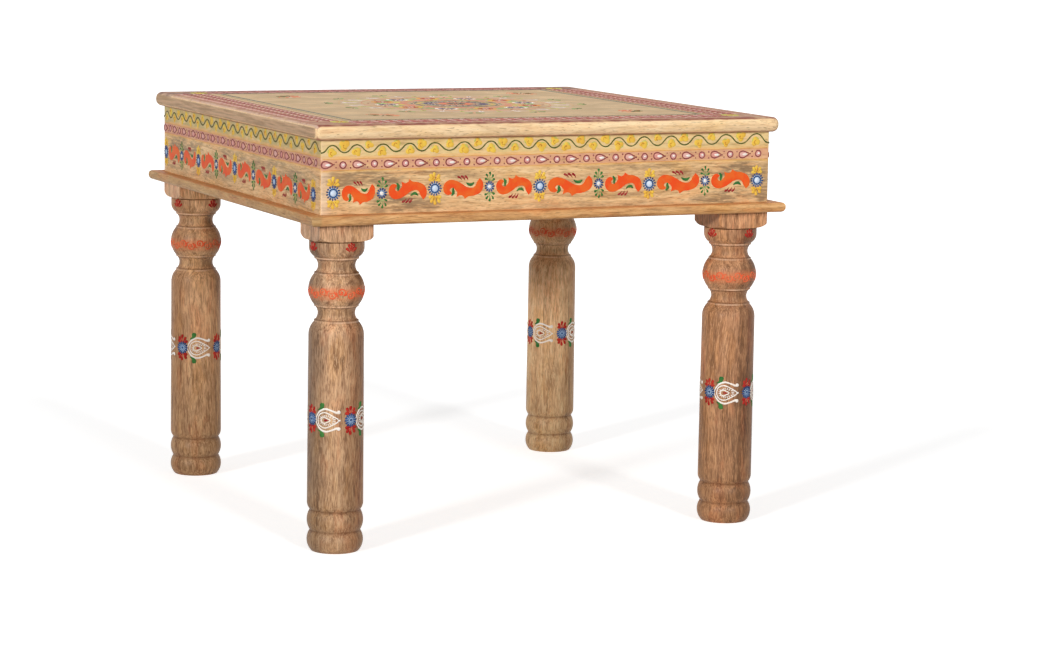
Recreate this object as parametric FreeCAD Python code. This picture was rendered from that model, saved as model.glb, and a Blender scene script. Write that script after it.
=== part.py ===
"""Low square table with a boxed apron, a base moulding frame and four turned legs.

Frame: origin on the floor under the middle of the table, X to the right,
Y to the back, Z up. All lengths are millimetres.
"""

import FreeCAD, Part
import math
import os

V = FreeCAD.Vector

# Overall size
TABLE_WIDTH = 600.0
TABLE_DEPTH = 600.0
TABLE_HEIGHT = 500.0

# Table top: boards glued edge to edge, with a rounded edge all round
TOP_THICKNESS = 18.0
TOP_BOARDS = 5
TOP_OVERHANG = 10.0
TOP_CORNER_RADIUS = 9.0
TOP_NOSE_FLAT = 2.0

# Apron box: four mitred boards
APRON_HEIGHT = 85.0
APRON_THICKNESS = 18.0
APRON_ARRIS_RADIUS = 2.5
SPLINE_THICKNESS = 4.0
SPLINE_WIDTH = 14.0
SPLINE_HEIGHT = 68.0

# Base moulding: four mitred rails that stand out past the apron
BASE_THICKNESS = 12.0
BASE_PROJECTION = 16.0
BASE_UPPER_RADIUS = 4.5
BASE_LOWER_RADIUS = 5.5
BASE_QUIRK_DEPTH = 0.8
BASE_QUIRK_WIDTH = 1.6
BASE_SEAT_MARGIN = 2.0

# Legs, from the floor up
LEG_BLANK = 66.0
LEG_BORE_CLEARANCE = 0.1
FOOT_PAD_RADIUS = 28.0
FOOT_RING_HEIGHT = 24.3
FOOT_RINGS = 2
FOOT_GROOVE_RADIUS = 29.4
SHAFT_FOOT_RADIUS = 32.9
SHAFT_TOP_RADIUS = 32.3
SHAFT_FOOT_ROUND = 8.8
SHOULDER_ROUND = 15.4
NECK_HEIGHT = 20.3
NECK_RADIUS = 21.7
NECK_EDGE_RADIUS = 25.1
LIST_RADIUS = 26.0
LIST_HEIGHT = 2.0
BALL_HEIGHT = 35.0
BALL_RADIUS = 32.7
BALL_END_RADIUS = 26.4
CUP_HEIGHT = 19.6
CUP_RADIUS = 32.2
CUP_ROUND = 10.8
HEAD_GROOVE_RADIUS = 30.6
HEAD_GROOVE_HEIGHT = 1.6
HEAD_HEIGHT = 20.2
POMMEL_RISE = 6.6
POMMEL_OUT_SHARE = 0.62
POMMEL_UP_SHARE = 0.27
HEAD_EDGE_RADIUS = 1.5

# Hanger bolt of each leg, with its washer and nut
BOLT_RADIUS = 4.0
BOLT_CLEARANCE = 0.5
BOLT_WOOD_LENGTH = 46.0
BOLT_WOOD_RADIUS = 3.5
BOLT_TIP_LENGTH = 7.0
BOLT_END_CHAMFER = 1.0
BOLT_PROUD = 4.0
WASHER_RADIUS = 11.0
WASHER_THICKNESS = 1.6
NUT_ACROSS_FLATS = 13.0
NUT_HEIGHT = 6.5
NUT_CLEARANCE = 0.1

# Blocks in the corners of the apron box
BLOCK_HEIGHT = 34.0
BLOCK_CHAMFER = 10.0

# Battens that hold the top to the apron
CLEAT_SECTION = 20.0
CLEAT_LENGTH = 380.0

# Countersunk wood screws
SCREW_HEAD_RADIUS = 3.9
SCREW_SHANK_RADIUS = 2.0
SCREW_TIP_LENGTH = 4.0
SCREW_CLEARANCE = 0.1
RAIL_SCREW_LENGTH = 38.0
CLEAT_SCREW_LENGTH = 31.0
BLOCK_SCREW_LENGTH = 60.0
RAIL_SCREW_PITCH = 150.0
CLEAT_SCREW_PITCH = 150.0
SCREWS_PER_SIDE = 3
BLOCK_SCREW_HEIGHT_SHARES = (0.3, 0.7)

# One overrun for every cut
OVERRUN = 5.0

# Two lengths this near as a share of each other are the same
FINE = 1e-6

# Levels and half widths that follow from the sizes above
TOP_UNDERSIDE = TABLE_HEIGHT - TOP_THICKNESS
APRON_BOTTOM = TOP_UNDERSIDE - APRON_HEIGHT
LEG_LENGTH = APRON_BOTTOM - BASE_THICKNESS
APRON_HALF_X = TABLE_WIDTH / 2 - TOP_OVERHANG
APRON_HALF_Y = TABLE_DEPTH / 2 - TOP_OVERHANG
LEG_X = APRON_HALF_X - LEG_BLANK / 2
LEG_Y = APRON_HALF_Y - LEG_BLANK / 2
APRON_INNER_X = APRON_HALF_X - APRON_THICKNESS
APRON_INNER_Y = APRON_HALF_Y - APRON_THICKNESS
BASE_INNER_X = APRON_HALF_X - LEG_BLANK - BASE_SEAT_MARGIN
BASE_INNER_Y = APRON_HALF_Y - LEG_BLANK - BASE_SEAT_MARGIN
BLOCK_TOP = APRON_BOTTOM + BLOCK_HEIGHT
BOLT_TOP = BLOCK_TOP + WASHER_THICKNESS + NUT_HEIGHT + BOLT_PROUD
BOLT_BOTTOM = LEG_LENGTH - BOLT_WOOD_LENGTH

# Each side's name and the turn in degrees that brings the front side to it
SIDE_TURNS = {"front": 0, "right": 90, "back": 180, "left": 270}
# Each corner's name with the signs of its X and Y
CORNERS = {
    "front_left": (-1, -1),
    "front_right": (1, -1),
    "back_right": (1, 1),
    "back_left": (-1, 1),
}


def turned(shape, degrees):
    """The shape turned about the table's upright axis."""
    copy = shape.copy()
    copy.rotate(V(0, 0, 0), V(0, 0, 1), degrees)
    return copy


def placed(shape, x, y, z):
    """The shape moved by x, y and z."""
    copy = shape.copy()
    copy.translate(V(x, y, z))
    return copy


def box(low, high):
    """An upright box between two corners, each an (x, y, z)."""
    size = [b - a for a, b in zip(low, high)]
    return Part.makeBox(*size, V(*low))


def half_sizes(side):
    """Half the length of a side's apron, and how far its face stands from the middle."""
    if side in ("front", "back"):
        return APRON_HALF_X, APRON_HALF_Y
    return APRON_HALF_Y, APRON_HALF_X


def straight(start, end):
    """A straight edge between two (radius, height) points of a turned outline."""
    return Part.makeLine(V(start[0], 0, start[1]), V(end[0], 0, end[1]))


def arc(start, middle, end):
    """An arc through three (radius, height) points of a turned outline."""
    points = [V(radius, 0, height) for radius, height in (start, middle, end)]
    return Part.Arc(*points).toShape()


def quarter_round(narrow, wide):
    """An arc that leaves the narrow point and runs upright into the wide one."""
    across = wide[0] - narrow[0]
    along = wide[1] - narrow[1]
    radius = (across**2 + along**2) / (2 * across)
    half_turn = math.asin(abs(along) / radius) / 2
    side = math.copysign(radius * math.sin(half_turn), along)
    middle = (wide[0] - radius + radius * math.cos(half_turn), wide[1] - side)
    return arc(narrow, middle, wide)


def revolved(edges):
    """The solid that an outline of edges makes when it turns about its own Z axis."""
    face = Part.Face(Part.Wire(edges))
    return face.revolve(V(0, 0, 0), V(0, 0, 1), 360)


def drill(radius, bottom, top):
    """An upright cylinder about the Z axis."""
    return Part.makeCylinder(radius, top - bottom, V(0, 0, bottom))


def mitred(shape, half_length, half_depth):
    """The part of a front side's shape between the two mitre planes."""
    apex = V(0, half_length - half_depth, -OVERRUN)
    reach = half_length + OVERRUN + BASE_PROJECTION
    corners = [
        apex,
        V(-reach, apex.y - reach, -OVERRUN),
        V(reach, apex.y - reach, -OVERRUN),
    ]
    wedge = Part.Face(Part.makePolygon(corners + [apex]))
    return shape.common(wedge.extrude(V(0, 0, TABLE_HEIGHT + 2 * OVERRUN)))


def upright_edges(shape, x, y):
    """The shape's upright edges that stand x and y from its Z axis."""

    def stands_there(edge):
        bounds = edge.BoundBox
        upright = math.isclose(bounds.ZLength, edge.Length, rel_tol=FINE)
        at_x = math.isclose(abs(edge.Vertexes[0].X), x)
        return upright and at_x and math.isclose(abs(edge.Vertexes[0].Y), y)

    return [edge for edge in shape.Edges if stands_there(edge)]


def wood_screw(length):
    """A countersunk screw, its head's flat at height zero and its tip at the top."""
    shank_start = SCREW_HEAD_RADIUS - SCREW_SHANK_RADIUS
    shank_end = length - SCREW_TIP_LENGTH
    outline = [
        (0, 0),
        (SCREW_HEAD_RADIUS, 0),
        (SCREW_SHANK_RADIUS, shank_start),
        (SCREW_SHANK_RADIUS, shank_end),
        (0, length),
        (0, 0),
    ]
    return revolved([straight(a, b) for a, b in zip(outline, outline[1:])])


def screw_hole(length):
    """The countersunk hole that a wood screw stands in, open at its mouth."""
    mouth = SCREW_HEAD_RADIUS + SCREW_CLEARANCE
    bore = SCREW_SHANK_RADIUS + SCREW_CLEARANCE
    outline = [
        (0, -OVERRUN),
        (mouth, -OVERRUN),
        (mouth, 0),
        (bore, mouth - bore),
        (bore, length),
        (0, length),
        (0, -OVERRUN),
    ]
    return revolved([straight(a, b) for a, b in zip(outline, outline[1:])])


def aimed(shape, direction, place):
    """The shape with its Z axis laid along a direction, moved to a place."""
    copy = shape.copy()
    copy.Placement = FreeCAD.Placement(V(*place), FreeCAD.Rotation(V(0, 0, 1), V(*direction)))
    return copy


def row_of(count, pitch):
    """Places of a row of copies about its middle."""
    return [(i - (count - 1) / 2) * pitch for i in range(count)]


def rail_screw_spots():
    """Mouths and directions of the screws that go up through the base into the apron."""
    spots = []
    for side, degrees in SIDE_TURNS.items():
        half_depth = half_sizes(side)[1]
        for along in row_of(SCREWS_PER_SIDE, RAIL_SCREW_PITCH):
            spot = V(along, -half_depth + APRON_THICKNESS / 2, LEG_LENGTH)
            spots.append((turned_point(spot, degrees), (0, 0, 1)))
    return spots


def cleat_screw_spots():
    """Mouths and directions of the screws that go up through the cleats into the top."""
    spots = []
    inset = APRON_THICKNESS + CLEAT_SECTION / 2
    for side, degrees in SIDE_TURNS.items():
        half_depth = half_sizes(side)[1]
        for along in row_of(SCREWS_PER_SIDE, CLEAT_SCREW_PITCH):
            spot = V(along, -half_depth + inset, TOP_UNDERSIDE - CLEAT_SECTION)
            spots.append((turned_point(spot, degrees), (0, 0, 1)))
    return spots


def block_screw_spots():
    """Mouths and directions of the two screws from each block into its two aprons."""
    spots = []
    for sign_x, sign_y in CORNERS.values():
        low, high = [APRON_BOTTOM + BLOCK_HEIGHT * share for share in BLOCK_SCREW_HEIGHT_SHARES]
        inset = BLOCK_CHAMFER + 2 * SCREW_HEAD_RADIUS
        beside_x = sign_x * (BASE_INNER_X + inset)
        beside_y = sign_y * (BASE_INNER_Y + inset)
        spots.append(((sign_x * BASE_INNER_X, beside_y, low), (sign_x, 0, 0)))
        spots.append(((beside_x, sign_y * BASE_INNER_Y, high), (0, sign_y, 0)))
    return spots


def turned_point(point, degrees):
    """A point turned about the table's upright axis, as an (x, y, z)."""
    spun = FreeCAD.Rotation(V(0, 0, 1), degrees).multVec(point)
    return (spun.x, spun.y, spun.z)


def holes(spots, length):
    """All the holes of a set of screws, as one shape to cut with."""
    hole = screw_hole(length)
    return Part.makeCompound([aimed(hole, direction, place) for place, direction in spots])


def screws(spots, length):
    """All the screws of a set, as one group of solids."""
    screw = wood_screw(length)
    return Part.makeCompound([aimed(screw, direction, place) for place, direction in spots])


def at_corners(shape):
    """Four copies of what stands on the table's axis, one on each leg's axis."""
    return Part.makeCompound([placed(shape, sx * LEG_X, sy * LEG_Y, 0) for sx, sy in CORNERS.values()])


def top_panel():
    """The whole top with its rounded corners and rounded edge."""
    panel = box(
        (-TABLE_WIDTH / 2, -TABLE_DEPTH / 2, TOP_UNDERSIDE),
        (TABLE_WIDTH / 2, TABLE_DEPTH / 2, TABLE_HEIGHT),
    )
    corners = upright_edges(panel, TABLE_WIDTH / 2, TABLE_DEPTH / 2)
    panel = panel.makeFillet(TOP_CORNER_RADIUS, corners)
    level = (TOP_UNDERSIDE, TABLE_HEIGHT)
    rim = [e for e in panel.Edges if len({round(v.Z, 3) for v in e.Vertexes}) == 1]
    rim = [e for e in rim if any(math.isclose(e.Vertexes[0].Z, z) for z in level)]
    return panel.makeFillet((TOP_THICKNESS - TOP_NOSE_FLAT) / 2, rim)


def top_boards():
    """The top's boards, cut from the panel along straight glue lines."""
    panel = top_panel()
    drilled = panel.cut(holes(cleat_screw_spots(), CLEAT_SCREW_LENGTH))
    width = TABLE_DEPTH / TOP_BOARDS
    boards = []
    for i in range(TOP_BOARDS):
        front = -TABLE_DEPTH / 2 + i * width
        low = (-TABLE_WIDTH / 2 - OVERRUN, front, TOP_UNDERSIDE - OVERRUN)
        high = (TABLE_WIDTH / 2 + OVERRUN, front + width, TABLE_HEIGHT + OVERRUN)
        boards.append(drilled.common(box(low, high)))
    return boards


def spline():
    """A loose tongue that stands across the mitre of the front left corner."""
    tongue = box(
        (-SPLINE_WIDTH / 2, -SPLINE_THICKNESS / 2, 0),
        (SPLINE_WIDTH / 2, SPLINE_THICKNESS / 2, SPLINE_HEIGHT),
    )
    return tongue


def splines():
    """The four tongues, each square to its mitre."""
    group = []
    middle = APRON_THICKNESS / 2
    bottom = APRON_BOTTOM + (APRON_HEIGHT - SPLINE_HEIGHT) / 2
    for sign_x, sign_y in CORNERS.values():
        tongue = turned(spline(), -45 * sign_x * sign_y)
        x = sign_x * (APRON_HALF_X - middle)
        y = sign_y * (APRON_HALF_Y - middle)
        group.append(placed(tongue, x, y, bottom))
    return Part.makeCompound(group)


def apron(side):
    """One mitred apron board."""
    half_length, half_depth = half_sizes(side)
    board = box(
        (-half_length, -half_depth, APRON_BOTTOM),
        (half_length, -half_depth + APRON_THICKNESS, TOP_UNDERSIDE),
    )
    arrises = [e for e in upright_edges(board, half_length, half_depth) if e.Vertexes[0].Y < 0]
    board = board.makeFillet(APRON_ARRIS_RADIUS, arrises)
    board = turned(mitred(board, half_length, half_depth), SIDE_TURNS[side])
    board = board.cut(splines())
    board = board.cut(holes(rail_screw_spots(), RAIL_SCREW_LENGTH))
    return board.cut(holes(block_screw_spots(), BLOCK_SCREW_LENGTH))


def base_outline(inner, outer):
    """The base rail's section as a face across X, from its inner edge to its nose."""

    def point(out, height):
        return V(0, -out, LEG_LENGTH + height)

    def corner_arc(out, height, radius, first, last):
        middle = (first + last) / 2
        points = [
            point(
                out + radius * math.cos(math.radians(angle)),
                height + radius * math.sin(math.radians(angle)),
            )
            for angle in (first, middle, last)
        ]
        return Part.Arc(*points).toShape()

    apron_face = outer - BASE_PROJECTION
    upper = BASE_THICKNESS - BASE_UPPER_RADIUS
    quirk_floor = BASE_THICKNESS - BASE_QUIRK_DEPTH
    path = [
        point(outer - BASE_LOWER_RADIUS, 0),
        point(inner, 0),
        point(inner, BASE_THICKNESS),
        point(apron_face, BASE_THICKNESS),
        point(apron_face, quirk_floor),
        point(apron_face + BASE_QUIRK_WIDTH, quirk_floor),
        point(apron_face + BASE_QUIRK_WIDTH + BASE_QUIRK_DEPTH, BASE_THICKNESS),
        point(outer - BASE_UPPER_RADIUS, BASE_THICKNESS),
    ]
    edges = [Part.makeLine(a, b) for a, b in zip(path, path[1:])]
    edges.append(corner_arc(outer - BASE_UPPER_RADIUS, upper, BASE_UPPER_RADIUS, 90, 0))
    edges.append(Part.makeLine(point(outer, upper), point(outer, BASE_LOWER_RADIUS)))
    edges.append(corner_arc(outer - BASE_LOWER_RADIUS, BASE_LOWER_RADIUS, BASE_LOWER_RADIUS, 0, -90))
    return Part.Face(Part.Wire(edges))


def base_rail(side):
    """One mitred rail of the base moulding."""
    half_length, half_depth = half_sizes(side)
    inner = half_depth - LEG_BLANK - BASE_SEAT_MARGIN
    reach = half_length + BASE_PROJECTION
    section = base_outline(inner, half_depth + BASE_PROJECTION)
    rail = placed(section, -reach, 0, 0).extrude(V(2 * reach, 0, 0))
    rail = turned(mitred(rail, half_length, half_depth), SIDE_TURNS[side])
    rail = rail.cut(holes(rail_screw_spots(), RAIL_SCREW_LENGTH))
    return rail.cut(at_corners(drill(BOLT_RADIUS + BOLT_CLEARANCE, 0, TABLE_HEIGHT)))


def foot_outline():
    """Edges of the two foot rings, and the height and radius where they end."""
    edges = [straight((0, 0), (FOOT_PAD_RADIUS, 0))]
    start = (FOOT_PAD_RADIUS, 0)
    for ring in range(FOOT_RINGS):
        widest = (LEG_BLANK / 2, (ring + 1 / 2) * FOOT_RING_HEIGHT)
        end = (FOOT_GROOVE_RADIUS, (ring + 1) * FOOT_RING_HEIGHT)
        edges.append(arc(start, widest, end))
        start = end
    return edges, start


def shaft_outline(start, top):
    """Edges of the shaft, from the top foot groove to the lip under the lower neck."""
    low = (SHAFT_FOOT_RADIUS, start[1] + SHAFT_FOOT_ROUND)
    high = (SHAFT_TOP_RADIUS, top - SHOULDER_ROUND)
    lip = (LIST_RADIUS, top)
    return [quarter_round(start, low), straight(low, high), quarter_round(lip, high)]


def neck_outline(bottom):
    """Edges of a neck: a narrow list, a hollow and a second narrow list."""
    hollow_low = bottom + LIST_HEIGHT
    hollow_high = bottom + NECK_HEIGHT - LIST_HEIGHT
    return [
        straight((LIST_RADIUS, bottom), (LIST_RADIUS, hollow_low)),
        straight((LIST_RADIUS, hollow_low), (NECK_EDGE_RADIUS, hollow_low)),
        arc(
            (NECK_EDGE_RADIUS, hollow_low),
            (NECK_RADIUS, (hollow_low + hollow_high) / 2),
            (NECK_EDGE_RADIUS, hollow_high),
        ),
        straight((NECK_EDGE_RADIUS, hollow_high), (LIST_RADIUS, hollow_high)),
        straight((LIST_RADIUS, hollow_high), (LIST_RADIUS, bottom + NECK_HEIGHT)),
    ]


def ball_outline(bottom):
    """Edges of the ball, which springs from just outside the lists of the two necks."""
    low = (BALL_END_RADIUS, bottom)
    high = (BALL_END_RADIUS, bottom + BALL_HEIGHT)
    return [
        straight((LIST_RADIUS, bottom), low),
        arc(low, (BALL_RADIUS, bottom + BALL_HEIGHT / 2), high),
        straight(high, (LIST_RADIUS, bottom + BALL_HEIGHT)),
    ]


def cup_outline(bottom):
    """Edges of the cup and of the groove under the square head."""
    groove = bottom + CUP_HEIGHT
    rim = groove - HEAD_GROOVE_HEIGHT
    bend = (CUP_RADIUS, bottom + CUP_ROUND)
    return [
        quarter_round((LIST_RADIUS, bottom), bend),
        straight(bend, (CUP_RADIUS, rim)),
        straight((CUP_RADIUS, rim), (HEAD_GROOVE_RADIUS, groove)),
        straight((HEAD_GROOVE_RADIUS, groove), (0, groove)),
        straight((0, groove), (0, 0)),
    ]


def leg_head():
    """The leg's square head, its lower corners rounded off on the lathe."""
    half = LEG_BLANK / 2
    bottom = LEG_LENGTH - HEAD_HEIGHT
    block = box((-half, -half, bottom), (half, half, LEG_LENGTH))
    block = block.makeFillet(HEAD_EDGE_RADIUS, upright_edges(block, half, half))
    corner = half * math.sqrt(2)
    start = (half, bottom)
    end = (corner, bottom + POMMEL_RISE)
    middle = (
        half + POMMEL_OUT_SHARE * (corner - half),
        bottom + POMMEL_UP_SHARE * POMMEL_RISE,
    )
    outline = [
        straight((0, bottom), start),
        arc(start, middle, end),
        straight(end, (corner, LEG_LENGTH)),
        straight((corner, LEG_LENGTH), (0, LEG_LENGTH)),
        straight((0, LEG_LENGTH), (0, bottom)),
    ]
    return block.common(revolved(outline))


def leg():
    """One leg on the table's axis, bored from above for its hanger bolt."""
    head_bottom = LEG_LENGTH - HEAD_HEIGHT
    cup_bottom = head_bottom - CUP_HEIGHT
    upper_neck = cup_bottom - NECK_HEIGHT
    ball_bottom = upper_neck - BALL_HEIGHT
    lower_neck = ball_bottom - NECK_HEIGHT
    foot, foot_end = foot_outline()
    edges = foot + shaft_outline(foot_end, lower_neck) + neck_outline(lower_neck)
    edges += ball_outline(ball_bottom) + neck_outline(upper_neck) + cup_outline(cup_bottom)
    body = revolved(edges).fuse(leg_head())
    bore = drill(BOLT_RADIUS + LEG_BORE_CLEARANCE, BOLT_BOTTOM, LEG_LENGTH + OVERRUN)
    return body.cut(bore).removeSplitter()


def hanger_bolt():
    """A bolt with a tapered wood end below and a plain machine end above."""
    wood_end = BOLT_BOTTOM + BOLT_TIP_LENGTH
    outline = [
        (0, BOLT_BOTTOM),
        (BOLT_WOOD_RADIUS, wood_end),
        (BOLT_RADIUS, LEG_LENGTH),
        (BOLT_RADIUS, BOLT_TOP - BOLT_END_CHAMFER),
        (BOLT_RADIUS - BOLT_END_CHAMFER, BOLT_TOP),
        (0, BOLT_TOP),
        (0, BOLT_BOTTOM),
    ]
    return revolved([straight(a, b) for a, b in zip(outline, outline[1:])])


def washer():
    """The round washer that lies on a corner block."""
    disc = drill(WASHER_RADIUS, BLOCK_TOP, BLOCK_TOP + WASHER_THICKNESS)
    return disc.cut(drill(BOLT_RADIUS + BOLT_CLEARANCE, 0, TABLE_HEIGHT))


def nut():
    """The hexagon nut on top of a washer."""
    bottom = BLOCK_TOP + WASHER_THICKNESS
    corner_radius = NUT_ACROSS_FLATS / 2 / math.cos(math.radians(30))
    angles = [math.radians(60 * i) for i in range(7)]
    ring = [V(corner_radius * math.cos(a), corner_radius * math.sin(a), bottom) for a in angles]
    hexagon = Part.Face(Part.makePolygon(ring)).extrude(V(0, 0, NUT_HEIGHT))
    return hexagon.cut(drill(BOLT_RADIUS + NUT_CLEARANCE, 0, TABLE_HEIGHT))


def corner_block(sign_x, sign_y):
    """The block glued and screwed into one corner of the apron box."""
    inner = (BASE_INNER_X, BASE_INNER_Y)
    outer = (APRON_INNER_X, APRON_INNER_Y)
    plan = [
        (inner[0] + BLOCK_CHAMFER, inner[1]),
        (outer[0], inner[1]),
        (outer[0], outer[1]),
        (inner[0], outer[1]),
        (inner[0], inner[1] + BLOCK_CHAMFER),
    ]
    points = [V(sign_x * x, sign_y * y, APRON_BOTTOM) for x, y in plan]
    block = Part.Face(Part.makePolygon(points + points[:1])).extrude(V(0, 0, BLOCK_HEIGHT))
    block = block.cut(at_corners(drill(BOLT_RADIUS + BOLT_CLEARANCE, 0, TABLE_HEIGHT)))
    return block.cut(holes(block_screw_spots(), BLOCK_SCREW_LENGTH))


def top_cleat(side):
    """One batten under the top, glued along its apron."""
    outer = -half_sizes(side)[1] + APRON_THICKNESS
    low = (-CLEAT_LENGTH / 2, outer, TOP_UNDERSIDE - CLEAT_SECTION)
    high = (CLEAT_LENGTH / 2, outer + CLEAT_SECTION, TOP_UNDERSIDE)
    cleat = turned(box(low, high), SIDE_TURNS[side])
    return cleat.cut(holes(cleat_screw_spots(), CLEAT_SCREW_LENGTH))


def write(name, shape):
    """Write one node's solids to its own STEP file and say how large it is."""
    shape.exportStep(f"parts/{name}.step")
    solids = shape.Solids
    volume = sum(solid.Volume for solid in solids)
    print(f"{name}: {len(solids)} solid(s), {volume / 1000:.1f} cm3, valid {shape.isValid()}")


def main():
    os.makedirs("parts", exist_ok=True)
    for number, board in enumerate(top_boards(), start=1):
        write(f"top_board_{number}", board)
    for side in SIDE_TURNS:
        write(f"apron_{side}", apron(side))
        write(f"base_rail_{side}", base_rail(side))
        write(f"top_cleat_{side}", top_cleat(side))
    one_leg = leg()
    for corner, (sign_x, sign_y) in CORNERS.items():
        write(f"leg_{corner}", placed(one_leg, sign_x * LEG_X, sign_y * LEG_Y, 0))
        write(f"corner_block_{corner}", corner_block(sign_x, sign_y))
    write("apron_mitre_splines", splines())
    write("leg_hanger_bolts", at_corners(hanger_bolt()))
    write("leg_bolt_washers", at_corners(washer()))
    write("leg_bolt_nuts", at_corners(nut()))
    write("base_rail_screws", screws(rail_screw_spots(), RAIL_SCREW_LENGTH))
    write("top_cleat_screws", screws(cleat_screw_spots(), CLEAT_SCREW_LENGTH))
    write("corner_block_screws", screws(block_screw_spots(), BLOCK_SCREW_LENGTH))


main()
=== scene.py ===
import random
from math import copysign, cos, dist, hypot, pi, radians, sin, sqrt, tau

import bmesh
import bpy
from mathutils import Matrix, Vector
from mathutils.bvhtree import BVHTree


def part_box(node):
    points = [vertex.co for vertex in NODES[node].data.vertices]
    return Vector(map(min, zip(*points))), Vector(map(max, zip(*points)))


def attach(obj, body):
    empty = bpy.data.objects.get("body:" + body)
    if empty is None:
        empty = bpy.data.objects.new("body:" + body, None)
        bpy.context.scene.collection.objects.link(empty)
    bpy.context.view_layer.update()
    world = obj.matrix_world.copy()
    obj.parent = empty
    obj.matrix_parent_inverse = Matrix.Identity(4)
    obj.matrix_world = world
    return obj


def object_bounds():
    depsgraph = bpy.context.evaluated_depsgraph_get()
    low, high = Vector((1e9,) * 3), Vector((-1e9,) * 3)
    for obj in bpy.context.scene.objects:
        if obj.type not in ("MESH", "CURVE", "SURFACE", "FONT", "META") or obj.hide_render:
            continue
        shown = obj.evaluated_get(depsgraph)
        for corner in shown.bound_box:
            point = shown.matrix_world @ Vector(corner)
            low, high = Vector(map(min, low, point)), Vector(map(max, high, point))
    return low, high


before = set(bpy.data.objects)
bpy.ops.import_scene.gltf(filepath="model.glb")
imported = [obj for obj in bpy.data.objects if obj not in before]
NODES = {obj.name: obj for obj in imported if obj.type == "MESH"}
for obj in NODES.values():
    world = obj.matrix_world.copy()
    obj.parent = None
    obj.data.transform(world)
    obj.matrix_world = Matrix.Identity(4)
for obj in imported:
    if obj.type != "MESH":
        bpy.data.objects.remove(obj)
cad_low, cad_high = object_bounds()

# Sizes are in millimetres unless a name says otherwise
MM = 0.001
TOP_FACE = cad_high.z / MM
APRON_FACE = -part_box("apron_front")[0].y / MM
MOULDING_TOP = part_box("base_rail_front")[1].z / MM
SIDES = ("front", "right", "back", "left")
LEGS = ("front_left", "front_right", "back_right", "back_left")

# Painted relief: how far it stands proud and reaches into the wood, and how its edges slope
RELIEF = 0.4
LOW_RELIEF = 0.2
TOP_RELIEF = 0.25
SINK = 0.1
THINNEST = 0.25
SHOULDER_SHARE = 0.55
EDGE_SLOPE = 0.3
SHARPEST = 0.3

# Heights and reaches of the painted rows on the aprons
WAVE_MIDDLE, WAVE_REACH = 473, 5
SIDE_WAVE_REACH = 0.86 * WAVE_REACH
WAVE_RISE, WAVE_GROWTH = 1.1, 0.15
WAVE_STEPS = 6
WAVE_FULLNESS = 0.75
ROSE_OFFSET, ROSE_SIZE = 3.6, 1.35
GOLD_LINES = (461.3, 448.2)
BAND_MIDDLE = 454.7
BAND_STEP = 19.2
BAND_RISE = 1
ROW_END = 283
APRON_END = 289.5

# The wave's crests along a side, from its left end seen from outside
WAVE_CRESTS = (-276, -246, -214, -181, -150, -112.5, -79, -47.5, -14, 19, 52.5, 86, 120, 156, 192.5, 230, 272)
# Place and height of each flower
FRONT_FLOWERS = ((-274.5, 421.5), (-215, 420), (-149, 424), (-80, 424.5), (-15.5, 423.5), (61, 424.5),
                 (128, 422.5), (203, 424.5), (274, 423.5))
SIDE_FLOWERS = ((-279.5, 422.5), (-215, 422.5), (-147.5, 422), (-77.5, 423.5), (-7.5, 424.5), (61, 422.5),
                (135, 421), (207, 420.5), (267, 418.5))


def srgb(red, green, blue):
    """Screen values from 0 to 255 as the linear colour that a shader takes."""
    def linear(value):
        value /= 255
        return value / 12.92 if value <= 0.04045 else ((value + 0.055) / 1.055) ** 2.4
    return (linear(red), linear(green), linear(blue), 1)


def polar(angle, reach):
    """The point at an angle in radians and a distance."""
    return reach * cos(angle), reach * sin(angle)


def arithmetic(operation, kind="Math"):
    """A method that adds a math node."""
    def method(value, *others):
        return value.tree.node(kind, enumerate((value, *others)), operation=operation)
    return method


class Value:
    """A node's output, which takes arithmetic."""
    __add__ = arithmetic("ADD")
    __sub__ = arithmetic("SUBTRACT")
    __mul__ = arithmetic("MULTIPLY")
    __truediv__ = arithmetic("DIVIDE")
    __pow__ = arithmetic("POWER")
    __abs__ = arithmetic("ABSOLUTE")
    scaled = arithmetic("MULTIPLY", "VectorMath")
    moved = arithmetic("ADD", "VectorMath")

    def __init__(self, tree, socket):
        self.tree = tree
        self.socket = socket

    def __rsub__(self, other):
        return self.tree.math("SUBTRACT", other, self)

    def between(self, low, high):
        """0 below low and 1 above high, smooth between. low may be the larger."""
        if low > high:
            return 1 - self.between(high, low)
        return self.tree.node("MapRange", {"Value": self, "From Min": low, "From Max": high},
                              interpolation_type="SMOOTHSTEP")

    def band(self, low, high, soft):
        """1 from low to high, with soft edges."""
        return self.between(low - soft, low + soft) * self.between(high + soft, high - soft)

    def near(self, middles, half, soft):
        """1 within half of any of the middles, with soft edges."""
        return largest(*(abs(self - middle).between(half + soft, half - soft) for middle in middles))

    def split(self):
        return [self.tree.node("SeparateXYZ", {0: self}, output=axis) for axis in range(3)]

    def noise(self, factors, detail=2, roughness=0.5, output=0):
        """Clouds about one unit wide in this place times the factors."""
        inputs = {"Vector": self.scaled(factors), "Scale": 1, "Detail": detail, "Roughness": roughness}
        return self.tree.node("TexNoise", inputs, output)


def largest(first, *others):
    for other in others:
        first = first.tree.math("MAXIMUM", first, other)
    return first


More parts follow.
